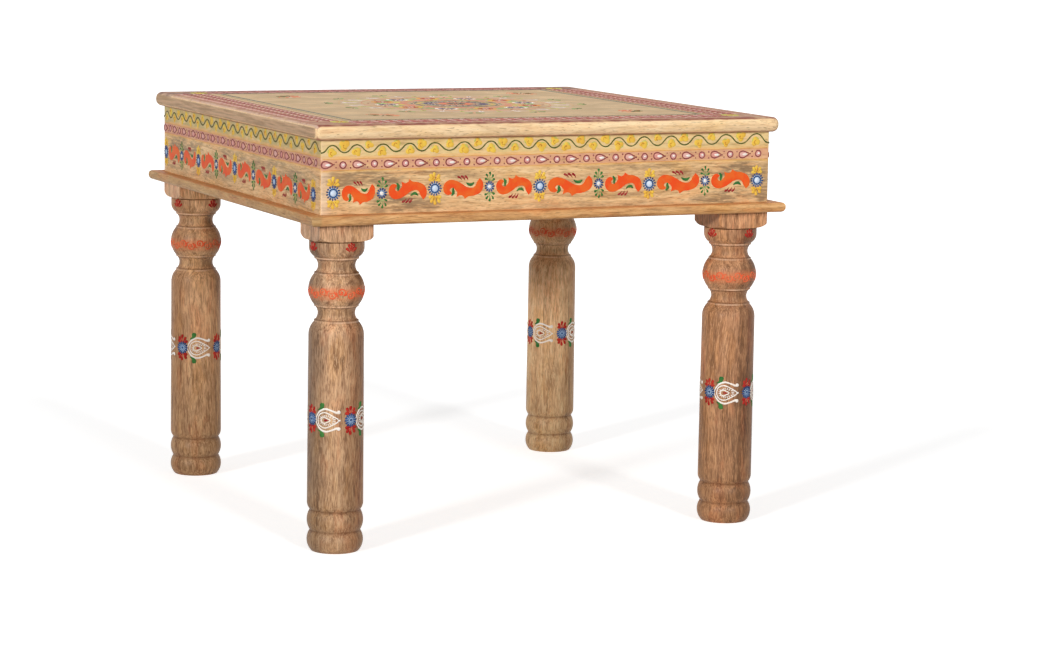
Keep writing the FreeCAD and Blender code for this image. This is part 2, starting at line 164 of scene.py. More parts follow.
class Tree:
    """The nodes of a material or world under construction."""

    def __init__(self, holder):
        self.holder = holder
        holder.use_nodes = True
        self.nodes = holder.node_tree.nodes
        self.links = holder.node_tree.links
        self.nodes.clear()

    def node(self, kind, inputs=(), output=0, **settings):
        made = self.nodes.new("ShaderNode" + kind)
        for key, value in settings.items():
            setattr(made, key, value)
        for key, value in dict(inputs).items():
            if isinstance(value, Value):
                self.links.new(value.socket, made.inputs[key])
            else:
                made.inputs[key].default_value = value
        return Value(self, made.outputs[output])

    def math(self, operation, *values):
        return self.node("Math", enumerate(values), operation=operation)

    def mix(self, share, below, above, blend="MIX"):
        """One colour over another. Each is a value or screen values."""
        below, above = (tone if isinstance(tone, Value) else srgb(*tone) for tone in (below, above))
        return self.node("Mix", {0: share, 6: below, 7: above}, output=2, data_type="RGBA", blend_type=blend)

    def coated(self, colour, *coats):
        """Coats over a colour: share, tone and blend of each."""
        for share, tone, *blend in coats:
            colour = self.mix(share, colour, tone, *blend)
        return colour

    def place_mm(self):
        """The point's place on the table, in millimetres."""
        return self.node("TexCoord", output="Object").scaled((1 / MM,) * 3)

    def surface(self, colour, roughness, height, depth, fixed):
        """The shader, with a height from 0 to 1 as bump of a depth in millimetres."""
        bump = self.node("Bump", {"Height": height, "Strength": 1, "Distance": depth * MM})
        inputs = {"Base Color": colour, "Roughness": roughness, "Normal": bump, **fixed}
        return self.end("Material", self.node("BsdfPrincipled", inputs))

    def end(self, kind, shader):
        self.links.new(shader.socket, self.nodes.new("ShaderNodeOutput" + kind).inputs["Surface"])
        return self.holder


# Wood
GRAIN_AXES = {"x": (0, 1, 2), "y": (1, 0, 2), "z": (2, 0, 1)}
PORE_TONE = (112, 78, 52)
VEIN_TONE = (112, 76, 48)
PATCH_TONE = (140, 114, 88)
PINK_CLOUD = (232, 150, 128)
OLIVE_CLOUD = (128, 132, 92)
WARP = 22
GRAIN_DEPTH = 0.22


def grain_space(tree, along, seed):
    """Place in millimetres as (along the grain, across, across), moved by the seed and gently warped."""
    axes = tree.place_mm().split()
    space = tree.node("CombineXYZ", enumerate(axes[i] for i in GRAIN_AXES[along]))
    shift = random.Random(seed)
    space = space.moved([shift.uniform(-900, 900) for _ in range(3)])
    warp = space.noise((0.006, 0.017, 0.017), output="Color").moved((-0.5, -0.5, -0.5))
    return space.moved(warp.scaled((0, WARP, WARP)))


def dress_wood(piece, name, along, tones, seed, patch=0.35, veins=0.5, flecks=0.35, coats=None,
               roughness=0.5, gloss=0.2):
    """Mango wood: streaks and bands along one axis, clouds, patches, dark veins, flecks and pores."""
    tree = Tree(bpy.data.materials.new(name))
    light, middle, dark = tones
    space = grain_space(tree, along, seed)
    streaks = space.noise((0.011, 0.13, 0.13), 4, 0.6)
    dashes = space.noise((0.038, 0.4, 0.4), 2, 0.6)
    fine = space.noise((0.06, 1, 1), 2, 0.6)
    rings = space.noise((0.006, 0.05, 0.34), 3, 0.6)
    tone = streaks * 0.32 + rings * 0.22 + dashes * 0.3 + fine * 0.16
    cloud = space.noise((0.016, 0.05, 0.05))
    cloudy = space.noise((0.009, 0.028, 0.028), 4, 0.6)
    lines = space.noise((0.005, 0.085, 0.085), 3, 0.55)
    short = space.noise((0.085, 0.8, 0.8), 3, 0.65)
    pores = space.noise((0.11, 1.35, 1.35), 1, 0.4).between(0.64, 0.72)
    colour = tree.coated(
        dark, (tone.between(0.4, 0.5), middle), (tone.between(0.5, 0.59), light),
        (cloud.between(0.52, 0.64) * 0.3, PINK_CLOUD, "SOFT_LIGHT"),
        (cloud.between(0.46, 0.34) * 0.4, OLIVE_CLOUD, "SOFT_LIGHT"),
        (cloudy.between(0.53, 0.64) * patch, tree.mix(0.4, dark, PATCH_TONE)),
        (lines.between(0.59, 0.7) * veins, VEIN_TONE),
        (short.between(0.5, 0.62) * flecks, dark), (short.between(0.48, 0.38) * flecks, light),
        (pores * 0.6, PORE_TONE))
    if coats:
        colour = coats(tree, colour)
    shine = streaks * 0.16 + (roughness - 0.08) + pores * 0.2
    height = fine * 0.4 - pores * 0.6
    dress(piece, tree.surface(colour, shine, height, GRAIN_DEPTH, {"Specular IOR Level": gloss}))


def brushed(tree, colour, washes):
    """Thin paints, uneven along the brush: mask, tone, strength and fineness of the brush's clouds."""
    for mask, tone, strength, fineness in washes:
        cloud = tree.place_mm().noise((fineness, fineness, fineness * 3), 3)
        colour = tree.mix(mask * cloud.between(0.2, 0.65) * strength, colour, tone)
    return colour


# Stains on the aprons' bare fields: place along and up, half size both ways, and strength
STAINS = {
    "front": ((-238, 438, 58, 11, 0.8), (-200, 424, 26, 20, 0.7), (-186, 405, 60, 10, 0.85),
              (-120, 441, 40, 6, 0.6), (258, 436, 38, 15, 0.95), (236, 404, 60, 8, 0.8),
              (281, 420, 14, 26, 0.7), (100, 443, 60, 4, 0.6), (60, 399, 190, 5, 0.4)),
    "left": ((-215, 430, 45, 22, 0.85), (-160, 440, 40, 10, 0.7), (-60, 410, 60, 10, 0.5),
             (-20, 440, 60, 8, 0.6), (90, 428, 50, 18, 0.5), (150, 442, 60, 8, 0.6), (215, 420, 40, 24, 0.6)),
    "right": ((-150, 436, 60, 12, 0.6), (120, 410, 70, 12, 0.6)),
    "back": ((-90, 436, 80, 12, 0.5), (180, 412, 60, 14, 0.7)),
}
STAIN_TONE = (140, 112, 82)


def stained(tree, colour, along, height, stains):
    """Soft-edged, mottled stains on an apron's face."""
    place = tree.place_mm()
    ragged = (place.noise((0.03, 0.03, 0.09), 3) - 0.5) * 3.6
    mottled = place.noise((0.07, 0.07, 0.4), 3, 0.6).between(0.3, 0.6)
    for u, z, half_u, half_z, strength in stains:
        far = ((along - u) / half_u) ** 2 + ((height - z) / half_z) ** 2
        share = (far + ragged).between(1.3, 0.1) * mottled
        colour = tree.mix(share * strength, colour, STAIN_TONE)
    return colour


def apron_coats(side):
    """An apron's washes: yellow above, a pink band, bare wood with stains below, and a painted highlight
    beside its left-hand corner.
    """
    crosswise = side in ("front", "back")

    def coats(tree, colour):
        x, y, z = tree.place_mm().split()
        along, depth = (x, y) if crosswise else (y, x)
        along *= -1 if side in ("back", "left") else 1
        outside = abs(depth).between(APRON_FACE - 4, APRON_FACE - 3)
        colour = stained(tree, colour, along, z, STAINS[side])
        # Painted highlight: a pale strip at the apron's left end, beside the rounded corner
        colour = tree.mix(along.between(-272, -290) * 0.45, colour, (246, 218, 192))
        z -= along * (BAND_RISE / ROW_END)
        upper, lower = GOLD_LINES
        yellow, pink = z.between(upper - 1, upper + 1), z.band(lower, upper, 0.7)
        washes = (
            (yellow, (250, 220, 170), 0.65, 0.06),
            (yellow, (242, 212, 122), 0.3, 0.07),
            (yellow, (158, 152, 88), 0.15 if crosswise else 0.6, 0.05),
            (z.band(upper, upper + 3, 1.8), (244, 176, 106), 0.7, 0.06),
            (z.band(lower - 2.2, lower, 1.2), (242, 190, 112), 0.6, 0.06),
            (pink, (236, 182, 136), 0.8, 0.06),
            (pink, (200, 124, 116), 0.4 if crosswise else 0.7, 0.08))
        return brushed(tree, colour, [(mask * outside, *wash) for mask, *wash in washes])
    return coats


def moulding_coats(tree, colour):
    """Painted shade that makes the left side greyer, and an orange-brown glaze on the flat top and in its
    corner with the apron.
    """
    x, _, z = tree.place_mm().split()
    # Painted shade: the left rail is made greyer
    left = x.between(-APRON_FACE - 2, -APRON_FACE - 6)
    colour = tree.mix(left, colour, (230, 238, 240), "MULTIPLY")
    flat = z.between(MOULDING_TOP - 1.2, MOULDING_TOP - 0.4)
    return brushed(tree, colour, [(flat, (188, 116, 60), 0.8, 0.06)])


# Heights of the legs' narrow raised rings (rubbed pale, with a painted highlight), of the painted shade lines
# in the creases beside them and under the head, and of the grooves and necks, which get painted shade
LEG_LISTS = (270.6, 288.9, 325.9, 344.2)
LEG_CREASE_SHADES = (272.4, 287.1, 327.7, 342.4, 364)
LEG_GROOVE_SHADES = (24.3, 48.6)
LEG_NECKS = (280, 335)
HEAD_LOW = 364.8
BALL_BAND = (298, 312)

# Painted shade, darker or redder, on sides of the legs below the head: bearing of the side, tint and strength
LEG_SIDE_SHADES = {
    "front_left": ((172, (176, 178, 184), 0.9), (-38, (184, 168, 156), 0.85)),
    "front_right": ((-100, (222, 220, 220), 0.8), (-38, (172, 162, 152), 0.9)),
    "back_right": ((-30, (196, 186, 176), 0.9),),
    "back_left": ((-176, (200, 190, 182), 0.9), (-30, (214, 210, 206), 0.8)),
}
FOOT_TINT = (218, 218, 214)
# Painted shade in the hollow necks
NECK_SHADE_TINT = (234, 234, 230)


def leg_coats(leg):
    """Painted shade on the sides, in the necks, in the creases and in the grooves; a darker foot, orange
    under the scroll, and rings rubbed pale with a painted highlight.
    """
    low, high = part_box("leg_" + leg)
    axis = (low + high) / 2 / MM
    radius = (high.x - low.x) / 2 / MM

    def coats(tree, colour):
        place = tree.place_mm()
        x, y, z = place.split()
        cloud = place.noise((0.05, 0.05, 0.03), 4, 0.6)
        # Painted shade on sides of the leg, below the head and weaker towards the foot
        shaded = z.between(HEAD_LOW + 1, HEAD_LOW - 1) * (z.between(40, 190) * 0.4 + 0.6)
        for bearing, tone, strength in LEG_SIDE_SHADES[leg]:
            way_x, way_y = polar(radians(bearing), 1 / radius)
            toward = (x - axis.x) * way_x + (y - axis.y) * way_y + (cloud - 0.5)
            colour = tree.mix(toward.between(0.3, 0.95) * strength * shaded, colour, tone, "MULTIPLY")
        # A darker foot, and painted shade in the hollow necks
        colour = tree.coated(colour, (z.between(280, 20), FOOT_TINT, "MULTIPLY"),
                             (z.near(LEG_NECKS, 4, 4), NECK_SHADE_TINT, "MULTIPLY"))
        colour = brushed(tree, colour, [(z.band(*BALL_BAND, 4), (228, 122, 76), 0.6, 0.09)])
        # Rings rubbed pale: partly wear, partly a painted highlight
        rubbed = z.near(LEG_LISTS, 0.8, 0.6) * cloud.between(0.36, 0.62)
        # Painted shade in the creases beside the rings and under the head, and in the grooves
        return tree.coated(
            colour, (rubbed * 0.6, (228, 190, 158)), (z.near(LEG_CREASE_SHADES, 0.5, 0.7) * 0.6, (96, 62, 40)),
            (z.near(LEG_GROOVE_SHADES, 0.8, 2.6) * 0.6, (104, 68, 44)))
    return coats


# Distances of the border's lines from the top's middle
BORDER_OUT, BORDER_IN = 291, 244
BORDER_EDGE = 297
PALE_IN = 234
FAR_IN = 235
CORNER_FLOWER = 254
# How much wider the border and its inner line are at the front, right, back and left
BORDER_SHIFTS = (0, 8, 0, -6)
LINE_SHIFTS = (0, 8, 0, 1)

# Washes under the medallion's rings: inner and outer radius, tone and strength
RING_WASHES = ((0, 22, (206, 130, 84), 0.6), (28, 44, (112, 116, 136), 0.6), (44, 53, (224, 194, 112), 0.6),
               (53, 112, (204, 146, 116), 0.4), (122, 146, (228, 196, 176), 0.5))


def top_coats(tree, colour):
    """A pale field with washes for the medallion's rings, a cream strip and the red border round it."""
    place = tree.place_mm()
    x, y, z = place.split()
    reach, inner = (tree.math(kind, abs(x), abs(y)) for kind in ("MAXIMUM", "MINIMUM"))
    upper = z.between(TOP_FACE - 1.6, TOP_FACE - 0.8)
    edge = z.between(TOP_FACE - 4.5, TOP_FACE - 3)
    radius = tree.math("SQRT", x ** 2 + y ** 2)
    within, lined = (largest(abs(y), x + shifts[1], shifts[3] - x) for shifts in (BORDER_SHIFTS, LINE_SHIFTS))
    border = within.between(BORDER_IN - 0.8, BORDER_IN + 0.8)
    border *= reach.between(BORDER_EDGE + 0.8, BORDER_EDGE - 0.8)
    corner = inner.between(CORNER_FLOWER - 12, CORNER_FLOWER - 8)
    corner *= reach.between(CORNER_FLOWER + 12, CORNER_FLOWER + 8)
    washes = [(reach.between(BORDER_IN + 1, BORDER_IN - 1) * upper, (206, 174, 130), 0.8, 0.02)]
    for inside, outside, tone, strength in RING_WASHES:
        washes.append((radius.band(inside, outside, 1.5) * upper, tone, strength, 0.12))
    washes += [
        (lined.between(PALE_IN - 0.8, PALE_IN + 0.8) * upper, (212, 184, 140), 0.8, 0.06),
        (border, (196, 140, 114), 0.9, 0.06),
        (border, (150, 80, 74), 0.4, 0.08),
        (abs(y).band(BORDER_OUT + 1, BORDER_EDGE, 0.8) * edge, (134, 70, 62), 0.8, 0.06),
        (abs(x).band(BORDER_OUT + 4, BORDER_EDGE + 1, 0.8) * edge, (228, 194, 172), 0.8, 0.12),
        (y.band(FAR_IN, BORDER_EDGE, 1) * edge, (136, 104, 94), 0.85, 0.06),
        (corner * upper, (232, 196, 110), 0.85, 0.06)]
    colour = brushed(tree, colour, washes)
    streaks = place.noise((0.2, 0.014, 0.3), 4, 0.6)
    end_grain = tree.mix(streaks.between(0.36, 0.62), (166, 134, 106), (208, 170, 138))
    return tree.mix(abs(x).between(298.2, 299) * 0.85, colour, end_grain)


def steel(name):
    """Zinc-plated steel with faint blotches and scratches."""
    tree = Tree(bpy.data.materials.new(name))
    place = tree.place_mm()
    blotches = place.noise((0.25, 0.25, 0.25), 4)
    scratches = place.noise((4, 4, 0.3))
    colour = tree.mix(blotches, (176, 178, 180), (138, 140, 144))
    return tree.surface(colour, blotches * 0.25 + 0.22, scratches, 0.02, {"Metallic": 1})


# What shows through where paint is rubbed
BARE_TONE = (196, 152, 108)


def paint(name, tone, second):
    """Hand-laid paint: two close tones in soft patches, brush lines and rubbed spots."""
    tree = Tree(bpy.data.materials.new(name))
    place = tree.place_mm()
    patches = place.noise((1 / 12,) * 3)
    brush = place.noise((0.9,) * 3, 2, 0.6)
    rubbed = place.noise((0.35,) * 3, 4, 0.65)
    colour = tree.mix(patches.between(0.35, 0.65), tone, second)
    worn = tree.mix(0.5, tone, BARE_TONE)
    colour = tree.mix(rubbed.between(0.6, 0.75) * 0.5, colour, worn)
    return tree.surface(colour, rubbed * 0.25 + 0.28, brush, 0.06, {"Specular IOR Level": 0.04})


# Name of each paint, its two tones and the record's slot
PAINTS = {
    "orange": ((238, 84, 38), (236, 106, 44), "orange_paint"),
    "crimson": ((148, 40, 44), (168, 58, 58), "red_paint"),
    "maroon": ((138, 64, 68), (154, 84, 84), "red_paint"),
    "red": ((166, 38, 34), (190, 60, 48), "red_paint"),
    "coral": ((236, 98, 62), (230, 124, 84), "orange_paint"),
    "salmon": ((228, 132, 100), (222, 150, 118), "pink_paint"),
    "rose_pink": ((230, 180, 170), (222, 154, 144), "pink_paint"),
    "white": ((244, 232, 220), (250, 244, 236), "white_paint"),
    "blue": ((46, 68, 112), (62, 90, 138), "blue_paint"),
    "pale_blue": ((184, 208, 234), (164, 190, 220), "pale_blue_paint"),
    "plum": ((98, 90, 108), (118, 108, 120), "blue_paint"),
    "olive": ((92, 88, 42), (108, 100, 48), "green_paint"),
    "deep_blue": ((48, 84, 158), (70, 112, 184), "blue_paint"),
    "white_blue": ((226, 236, 248), (204, 220, 240), "pale_blue_paint"),
    "vine_green": ((82, 92, 46), (98, 104, 52), "green_paint"),
    "slate": ((84, 92, 86), (98, 102, 90), "green_paint"),
    "leaf_green": ((52, 110, 58), (72, 126, 62), "green_paint"),
    "pale_green": ((168, 186, 120), (150, 174, 112), "green_paint"),
    "yellow": ((242, 202, 84), (236, 186, 76), "yellow_paint"),
    "lime": ((212, 206, 104), (196, 196, 98), "yellow_paint"),
    "ochre": ((206, 140, 52), (184, 116, 44), "yellow_paint"),
    "gold": ((232, 176, 98), (222, 158, 88), "yellow_paint"),
}

# Corners and faces of the relief that has been laid, for each paint
laid = {colour: ([], []) for colour in PAINTS}
hand = random.Random(11)


def stray(reach):
    """How far off a hand is."""
    return hand.uniform(-reach, reach)


def uneven(value, share=0.06):
    """The value as a hand would hit it."""
    return value * hand.uniform(1 - share, 1 + share)


def add_shape(colour, corners, faces):
    all_corners, all_faces = laid[colour]
    start = len(all_corners)
    all_corners += corners
    all_faces += [tuple(start + i for i in face) for face in faces]


def curve_value(before, first, second, after, share):
    """A Catmull-Rom curve's value, from first at 0 to second at 1."""
    linear = (second - before) * share
    square = (2 * before - 5 * first + 4 * second - after) * share ** 2
    cube = (3 * first - before - 3 * second + after) * share ** 3
    return first + (linear + square + cube) / 2


def smooth_line(points, steps, closed):
    """Points of a smooth curve through the given points, whose last number is the width."""
    before, after = (points[-1:], points[:2]) if closed else (points[:1], points[-1:])
    padded = (*before, *points, *after)
    line = [[curve_value(*values, step / steps) for values in zip(*padded[i:i + 4])]
            for i in range(len(padded) - 3) for step in range(steps)]
    return line if closed else [*line, list(points[-1])]


def stroke(colour, place, points, steps=2, closed=False, height=RELIEF):
    """A raised brush stroke through points of (x, y, width), closed underneath."""
    line = smooth_line(points, steps, closed)
    count = len(line)
    corners = []
    for i, (x, y, width) in enumerate(line):
        back = line[i - 1] if closed or i else line[0]
        ahead = line[(i + 1) % count] if closed or i < count - 1 else line[i]
        run = hypot(ahead[0] - back[0], ahead[1] - back[1]) or 1
        side_x, side_y = (back[1] - ahead[1]) / run, (ahead[0] - back[0]) / run
        half = max(width, THINNEST) / 2
        shoulder = half * SHOULDER_SHARE
        top = height * min(1, 0.35 + half)
        for offset, level in ((-half, -SINK), (-shoulder, top), (shoulder, top), (half, -SINK)):
            corners.append(place(x + side_x * offset, y + side_y * offset, level))
    faces = []
    for i in range(count if closed else count - 1):
        near, far = 4 * i, 4 * ((i + 1) % count)
        faces += [(near + k, near + (k + 1) % 4, far + (k + 1) % 4, far + k) for k in range(4)]
    if not closed:
        faces += [(0, 1, 2, 3), tuple(4 * (count - 1) + k for k in range(4))]
    add_shape(colour, corners, faces)


def patch(colour, place, pieces, height=RELIEF):
    """A raised flat shape whose outline is smooth pieces that meet in sharp tips."""
    line = []
    for piece in pieces:
        line += smooth_line([(*p, 0) for p in piece], 3, False)[:-1]
    count = len(line)
    area = sum(line[i - 1][0] * line[i][1] - line[i][0] * line[i - 1][1] for i in range(count))
    corners = [place(x, y, -SINK) for x, y, _ in line]
    for i, (x, y, _) in enumerate(line):
        ways = []
        for near, far in ((line[i - 1], line[i]), (line[i], line[(i + 1) % count])):
            run = dist(near[:2], far[:2])
            ways.append(Vector((near[1] - far[1], far[0] - near[0])) * copysign(1 / run, area))
        inward = (ways[0] + ways[1]) / 2
        inward *= EDGE_SLOPE / max(inward.length_squared, SHARPEST ** 2)
        corners.append(place(x + inward.x, y + inward.y, height))
    faces = [tuple(range(count)), tuple(range(count, 2 * count))]
    faces += [(i, (i + 1) % count, count + (i + 1) % count, count + i) for i in range(count)]
    add_shape(colour, corners, faces)


def blob(colour, place, wide, tall=None, at=(0, 0), turn=0, height=RELIEF):
    """A raised dot or oval with a domed top."""
    place = spot(place, *at, turn, wide, tall or wide)
    sides = 8 if wide < 3 else 12 if wide < 9 else 24
    corners = [place(*polar(tau * k / sides, share / 2), level)
               for share, level in ((1, -SINK), (0.82, 0.72 * height)) for k in range(sides)]
    corners.append(place(0, 0, height))
    faces = [tuple(range(sides))]
    for k in range(sides):
        following = (k + 1) % sides
        faces.append((k, following, sides + following, sides + k))
        faces.append((sides + k, sides + following, 2 * sides))
    add_shape(colour, corners, faces)


# A comma stroke's points: share of the way to the tail, share of the bend, and width
COMMA = ((0, 0, 0.62), (0.22, 0.5, 1), (0.6, 1, 0.62), (1, 0, 0.12))


def comma(colour, place, head, tail, width, bend=0.12, height=RELIEF):
    """A comma stroke: a round head that thins to a pointed tail."""
    x, y = head
    dx, dy = tail[0] - x, tail[1] - y
    points = [(x + s * dx - bend * b * dy, y + s * dy + bend * b * dx, w * width) for s, b, w in COMMA]
    stroke(colour, place, points, height=height)


def spot(surface, u, v, turn=0, wide=1, tall=1):
    """A drawing place on a surface, turned and stretched. A negative tall turns it upside down."""
    cos_turn, sin_turn = polar(turn, 1)

    def place(x, y, level):
        x, y = x * wide, y * tall
        return surface(u + cos_turn * x - sin_turn * y, v + sin_turn * x + cos_turn * y, level)
    return place


# Motifs, drawn round (0, 0) in millimetres
def fan(colour, place, count, spread, start, length, width, centre=90, height=RELIEF):
    """Comma strokes that fan out from a point, with their heads outward."""
    for k in range(count):
        share = k / (count - 1) - 0.5
        angle = radians(centre + spread * share + stray(3))
        reach = start + uneven(length) * (1 - 0.9 * share ** 2)
        bend = 0.1 if share < 0 else -0.1
        comma(colour, place, polar(angle, reach), polar(angle, start), uneven(width), bend, height)


def petals(colour, place, count, inner, outer, width):
    """Short radial petals in a ring."""
    first = hand.uniform(0, tau)
    for k in range(count):
        angle = first + tau * k / count
        comma(colour, place, polar(angle, outer), polar(angle, inner), width, bend=0)


def circle(colour, place, radius, width, points=8, height=RELIEF):
    """A raised ring."""
    around = [(*polar(tau * k / points, radius), width) for k in range(points)]
    stroke(colour, place, around, steps=3, closed=True, height=height)


def blue_daisy(place, ground, middle):
    """Dark petals round a disc, and a pale middle in a dark ring."""
    blob(ground, place, 1.6 * DAISY, height=LOW_RELIEF)
    petals("blue", place, 15, 0.62 * DAISY, DAISY, 0.28 * DAISY)
    circle("blue", place, 0.55 * DAISY, 0.24 * DAISY, height=RELIEF + 0.1)
    blob(middle, place, 0.85 * DAISY, height=RELIEF + 0.2)


def small_daisy(place):
    """Dark petals round a white middle."""
    blob("pale_blue", place, 1.3 * SMALL_DAISY, height=LOW_RELIEF)
    petals("blue", place, 11, 0.3 * SMALL_DAISY, SMALL_DAISY, 0.42 * SMALL_DAISY)
    blob("white", place, 0.78 * SMALL_DAISY, height=RELIEF + 0.3)


# Radii of the daisies on the aprons
DAISY, SMALL_DAISY = 8.6, 6.4
# Angle and reach of the leaves beside a small daisy, and a leaf's length
GREEN_LEAVES = ((90, 11.4), (60, 9.2), (120, 9.2), (24, 7), (156, 7))
LEAF_LENGTH = 5


def yellow_fans(surface, u, v):
    """A small palmette above and below a daisy, shaded with ochre."""
    for up in (1, -1):
        place = spot(surface, u + stray(0.8), v + up * 9.2, tall=up)
        fan("yellow", place, 5, 156, 0.5, uneven(8.8, 0.1), 4.6)
        fan("ochre", place, 4, 100, 0.8, 4.4, 0.9, height=RELIEF + 0.2)


def green_fans(surface, u, v):
    """A fern above and below a daisy: leaves on pale stems."""
    for up in (1, -1):
        place = spot(surface, u + stray(0.6), v + up * 6.4, tall=up)
        for angle, reach in GREEN_LEAVES:
            angle, reach = radians(angle), uneven(reach)
            tip = polar(angle, reach)
            stroke("pale_green", place, ((0, 0, 0.9), (*tip, 0.7)))
            comma("leaf_green", place, tip, polar(angle, reach - LEAF_LENGTH), uneven(3.2, 0.12))


# The paisley's outline in pieces between its sharp tips: upper side with both hooks, then toothed side
PAISLEY = (
    ((-12.6, -6.4), (-16.4, -8.6), (-20.8, -6.8), (-23.2, -1.2), (-21.6, 5.2), (-16, 9.2), (-8.6, 8.4),
     (-1.6, 4.6), (3.2, 1.2), (7.4, -0.4), (11.4, -0.4), (14.2, 2), (15.8, 5.8), (19.2, 10.6)),
    ((19.2, 10.6), (22.9, 6), (23.2, -0.8), (19.8, -6.7), (12.4, -10), (6.6, -10.6), (2, -13.6)),
    ((2, -13.6), (0.4, -10.4), (-3, -9.2), (-7.7, -11)),
    ((-7.7, -11), (-6.9, -6.8), (-7.6, -4.2), (-10.4, -1), (-13.4, -0.2), (-15.4, -2.8), (-12.6, -6.4)))
PAISLEY_WIDTH = 45.5
PAISLEY_GAP = 19.5
# Leaves in its hooks, and crimson strokes beside it with head and tail
PAISLEY_LEAVES = (((-11.6, 0, 1.2), (-11.6, -3, 3.2), (-11.2, -6.4, 3.8), (-13.4, -9.4, 1.4)),
                  ((3.6, 5.6, 1.2), (6.6, 3.4, 3.4), (10, 3.2, 3.8), (12.6, 5.6, 1.2)))
PAISLEY_STROKES = (((-6.8, 13), (-1.6, 8.6)), ((-2.6, 13.6), (2.2, 8.2)), ((1.8, 13.6), (5.6, 8.2)))


def paisley(place):
    """An orange paisley with a curl and a hook, a leaf in each and crimson strokes beside it."""
    patch("orange", place, PAISLEY)
    for leaf in PAISLEY_LEAVES:
        stroke("leaf_green", place, leaf)
    for head, tail in PAISLEY_STROKES:
        comma("crimson", place, head, tail, uneven(2.8))


def rose(place, size):
    """A yellow rose bud: a lime leaf curled over yellow dabs, and an ochre swirl."""
    turn = hand.uniform(0.2, pi - 0.2)
    arc = [(3.5 * size * cos(turn + a), 3.1 * size * sin(turn + a), w)
           for a, w in ((-1.3, 0.8), (-0.7, 3), (0, 3.6), (0.7, 3), (1.3, 0.8))]
    stroke("lime", place, arc, height=LOW_RELIEF)
    for k in range(3):
        angle = turn + 2.1 * k + stray(0.3)
        at = (1.8 * size * cos(angle), 1.6 * size * sin(angle))
        blob("yellow", place, uneven(6.2 * size, 0.15), uneven(5.2 * size, 0.15), at, angle, RELIEF - 0.1)
    swirl = [(*polar(turn + s, (0.5 + 0.85 * s) * size), 1.3 - 0.2 * s) for s in (0, 0.9, 1.8, 2.7)]
    stroke("ochre", place, swirl, height=RELIEF + 0.15)


DROP = ((1, 0), (0.35, 0.62), (-0.3, 0.98), (-0.85, 0.66), (-1, 0), (-0.85, -0.66),
        (-0.3, -0.98), (0.35, -0.62))


def drop_outline(length, width, thick, shift=0):
    """A teardrop's outline with its point to the right, round (shift, 0)."""
    return [(length / 2 * x + shift, width / 2 * y, thick) for x, y in DROP]


def pearl_drop(place, shine):
    """A maroon teardrop outline with a shine inside, its point ending in a dot."""
    blob("rose_pink", place, 10.5, 6.8, at=(-1.2, 0), height=LOW_RELIEF)
    blob(shine, place, 7.4, 3.2, at=(0.8, -0.2), height=RELIEF + 0.1)
    stroke("maroon", place, drop_outline(14.2, 8.4, 1.6), closed=True)
    blob("maroon", place, 2, at=(8.2, 0))


def pearl_ring(place, shine):
    """A maroon ring with a pearl inside."""
    blob("rose_pink", place, 7, height=LOW_RELIEF)
    blob(shine, place, 3.6, 2.8, at=(0.6, 0.2), height=RELIEF + 0.1)
    circle("maroon", place, 3.7, 1.6)


# The aprons
def side_surface(side):
    """Maps (along, height, level) on an apron to the table. Along grows to the right seen from outside."""
    def surface(u, v, level):
        out = APRON_FACE + level
        x, y = {"front": (u, -out), "right": (out, u), "back": (-u, out), "left": (-out, -u)}[side]
        return (x * MM, y * MM, v * MM)
    return surface


def wave_middle(along):
    return WAVE_MIDDLE + WAVE_RISE * along / ROW_END


def wave_row(surface, reach, colour, width):
    """The green wave, rounded at its turns, with roses in its hollows."""
    troughs = [(a + b) / 2 for a, b in zip(WAVE_CRESTS, WAVE_CRESTS[1:])]
    turns = sorted([(u, 1) for u in WAVE_CRESTS] + [(u, -1) for u in (-APRON_END, *troughs, APRON_END)])
    points = []
    for (u, up), (following, _) in zip(turns, turns[1:]):
        for step in range(WAVE_STEPS):
            share = step / WAVE_STEPS
            along = u + share * (following - u)
            lift = cos(pi * share)
            lift = copysign(abs(lift) ** WAVE_FULLNESS, lift)
            height = wave_middle(along) + up * reach * (1 + WAVE_GROWTH * along / ROW_END) * lift
            points.append((along, height, uneven(width, 0.15)))
    points.append((APRON_END, wave_middle(APRON_END) - reach, width))
    stroke(colour, surface, points)
    for u, up in turns[1:-1]:
        middle = wave_middle(u) - up * ROSE_OFFSET
        place = spot(surface, u + stray(1), middle + stray(0.5))
        rose(place, uneven(ROSE_SIZE, 0.12))


def pearl_row(surface, shine):
    """Drops and rings between two gold lines."""
    for height in GOLD_LINES:
        line = [(u, height + BAND_RISE * u / ROW_END + stray(0.3), uneven(1, 0.2))
                for u in range(-287, 288, 14)]
        stroke("gold", surface, line, height=LOW_RELIEF)
    count = int(2 * ROW_END // BAND_STEP) + 1
    for k in range(count):
        u = 1 - ROW_END + k * BAND_STEP
        middle = BAND_MIDDLE + BAND_RISE * u / ROW_END + stray(0.5)
        motif = pearl_ring if k % 2 else pearl_drop
        motif(spot(surface, u, middle, turn=stray(0.08)), shine)
        if k < count - 1:
            between = u + BAND_STEP / 2 + (-0.4 if k % 2 else 1.2)
            for up in (-1, 1):
                dot = (between, middle + up * 3.3 + stray(0.3))
                blob("maroon", surface, uneven(1.9, 0.15), at=dot)


